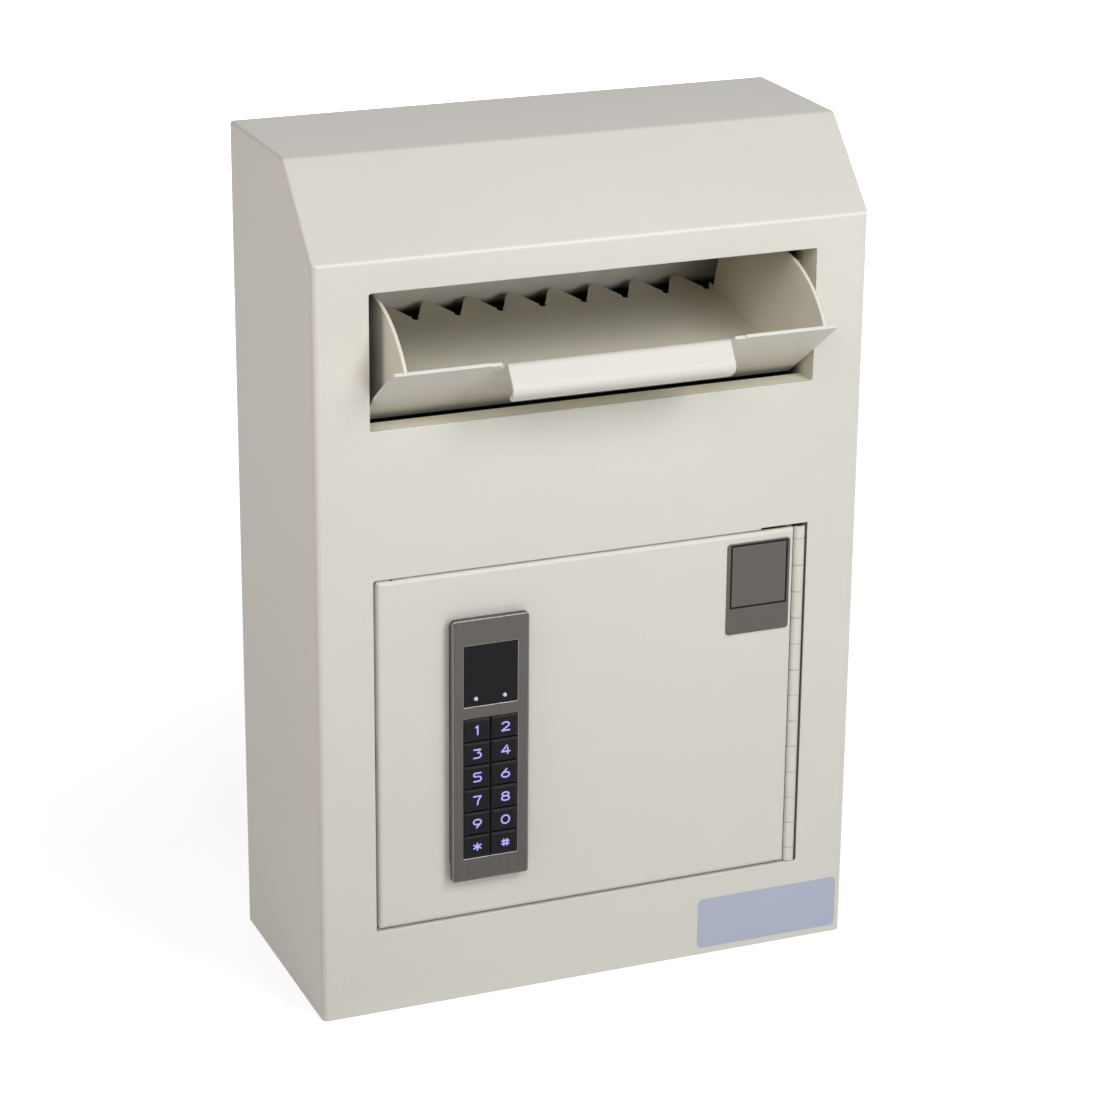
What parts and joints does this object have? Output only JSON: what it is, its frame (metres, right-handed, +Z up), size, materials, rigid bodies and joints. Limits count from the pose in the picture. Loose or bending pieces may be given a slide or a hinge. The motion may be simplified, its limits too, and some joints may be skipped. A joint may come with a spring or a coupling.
{
  "type": "deposit safe",
  "caption": "Slim folded-steel deposit safe with a tilting anti-fishing hopper above and a piano-hinged door with a keypad and motor-driven bolt below.",
  "frame": {"origin": "centre of the body's underside, where it stands on a counter or shelf", "axes": "+X to the right as seen from the front, +Y to the back (the wall side), +Z up"},
  "size_m": [0.254, 0.1402, 0.382],
  "materials": {
    "powder_coat": "satin ivory powder coat, fine texture",
    "zinc_steel": "bright zinc plate",
    "dark_steel": "dark oiled steel",
    "bezel_steel": "brushed dark stainless",
    "black_plastic": "matt",
    "window_plastic": "gloss",
    "key_plastic": "satin charcoal",
    "lamp_plastic": "gloss",
    "mat_rubber": "matt",
    "cable_rubber": "matt",
    "circuit_board": "solder mask",
    "cast_housing": "die cast, satin",
    "pinion_brass": "machined",
    "battery_wrap": "gloss foil"
  },
  "bodies": {
    "body": {"front_wrap": "powder_coat", "top_wrap": "powder_coat", "bottom_plate": "powder_coat", "back_panel": "powder_coat", "drop_sill": "powder_coat", "drop_head": "powder_coat", "cheek_left": "powder_coat", "cheek_right": "powder_coat", "stop_studs": "zinc_steel", "pivot_bushes": "dark_steel", "door_frame": "powder_coat", "strike_plate": "zinc_steel", "hinge_frame_leaf": "powder_coat", "hinge_pin": "zinc_steel"},
    "hopper": {"hopper_flap": "powder_coat", "hopper_floor": "powder_coat", "hopper_side_left": "powder_coat", "hopper_side_right": "powder_coat", "pivot_pins": "zinc_steel", "pivot_clips": "dark_steel"},
    "door": {"door_panel": "powder_coat", "hinge_door_leaf": "powder_coat", "keypad_housing": "black_plastic", "keypad_bezel": "bezel_steel", "display_window": "window_plastic", "status_lamps": "lamp_plastic", "key_mat": "mat_rubber", "keypad_board": "circuit_board", "keypad_screws": "zinc_steel", "lock_case": "cast_housing", "lock_cover": "cast_housing", "lock_screws": "zinc_steel", "bolt_keeper": "zinc_steel", "lock_motor": "zinc_steel", "lock_board": "circuit_board", "keypad_lead": "cable_rubber", "battery_box": "black_plastic", "battery_cover": "black_plastic", "batteries": "battery_wrap", "battery_lead": "cable_rubber"},
    "bolt": {"latch_bolt": "zinc_steel"},
    "pinion": {"drive_pinion": "pinion_brass", "pinion_shaft": "zinc_steel"},
    "key_1_body": {"key_1": "key_plastic"},
    "key_2_body": {"key_2": "key_plastic"},
    "key_3_body": {"key_3": "key_plastic"},
    "key_4_body": {"key_4": "key_plastic"},
    "key_5_body": {"key_5": "key_plastic"},
    "key_6_body": {"key_6": "key_plastic"},
    "key_7_body": {"key_7": "key_plastic"},
    "key_8_body": {"key_8": "key_plastic"},
    "key_9_body": {"key_9": "key_plastic"},
    "key_0_body": {"key_0": "key_plastic"},
    "key_star_body": {"key_star": "key_plastic"},
    "key_hash_body": {"key_hash": "key_plastic"}
  },
  "joints": [
    {"name": "hopper_tilt", "type": "hinge", "parent": "body", "child": "hopper", "pos_m": [0, -0.035, 0.277], "axis": [-1, 0, 0], "range_deg": [0, 54.5]},
    {"name": "door_swing", "type": "hinge", "parent": "body", "child": "door", "pos_m": [0.09965, -0.05175, 0.12225], "axis": [0, 0, 1], "range_deg": [0, 90]},
    {"name": "bolt_slide", "type": "slide", "parent": "door", "child": "bolt", "axis": [-1, 0, 0], "range_m": [0, 0.008]},
    {"name": "pinion_spin", "type": "hinge", "parent": "door", "child": "pinion", "pos_m": [-0.0715, -0.0457, 0.1103], "axis": [0, -1, 0], "range_deg": [0, 76.4]},
    {"name": "press_1", "type": "slide", "parent": "door", "child": "key_1_body", "axis": [0, 1, 0], "range_m": [0, 0.0006], "stiffness_N_per_m": 1200, "springref_m": -0.0003},
    {"name": "press_2", "type": "slide", "parent": "door", "child": "key_2_body", "axis": [0, 1, 0], "range_m": [0, 0.0006], "stiffness_N_per_m": 1200, "springref_m": -0.0003},
    {"name": "press_3", "type": "slide", "parent": "door", "child": "key_3_body", "axis": [0, 1, 0], "range_m": [0, 0.0006], "stiffness_N_per_m": 1200, "springref_m": -0.0003},
    {"name": "press_4", "type": "slide", "parent": "door", "child": "key_4_body", "axis": [0, 1, 0], "range_m": [0, 0.0006], "stiffness_N_per_m": 1200, "springref_m": -0.0003},
    {"name": "press_5", "type": "slide", "parent": "door", "child": "key_5_body", "axis": [0, 1, 0], "range_m": [0, 0.0006], "stiffness_N_per_m": 1200, "springref_m": -0.0003},
    {"name": "press_6", "type": "slide", "parent": "door", "child": "key_6_body", "axis": [0, 1, 0], "range_m": [0, 0.0006], "stiffness_N_per_m": 1200, "springref_m": -0.0003},
    {"name": "press_7", "type": "slide", "parent": "door", "child": "key_7_body", "axis": [0, 1, 0], "range_m": [0, 0.0006], "stiffness_N_per_m": 1200, "springref_m": -0.0003},
    {"name": "press_8", "type": "slide", "parent": "door", "child": "key_8_body", "axis": [0, 1, 0], "range_m": [0, 0.0006], "stiffness_N_per_m": 1200, "springref_m": -0.0003},
    {"name": "press_9", "type": "slide", "parent": "door", "child": "key_9_body", "axis": [0, 1, 0], "range_m": [0, 0.0006], "stiffness_N_per_m": 1200, "springref_m": -0.0003},
    {"name": "press_0", "type": "slide", "parent": "door", "child": "key_0_body", "axis": [0, 1, 0], "range_m": [0, 0.0006], "stiffness_N_per_m": 1200, "springref_m": -0.0003},
    {"name": "press_star", "type": "slide", "parent": "door", "child": "key_star_body", "axis": [0, 1, 0], "range_m": [0, 0.0006], "stiffness_N_per_m": 1200, "springref_m": -0.0003},
    {"name": "press_hash", "type": "slide", "parent": "door", "child": "key_hash_body", "axis": [0, 1, 0], "range_m": [0, 0.0006], "stiffness_N_per_m": 1200, "springref_m": -0.0003}
  ],
  "couplings": [
    {"joint": "pinion_spin", "follows": "bolt_slide", "rad_per_m": 166.67}
  ]
}
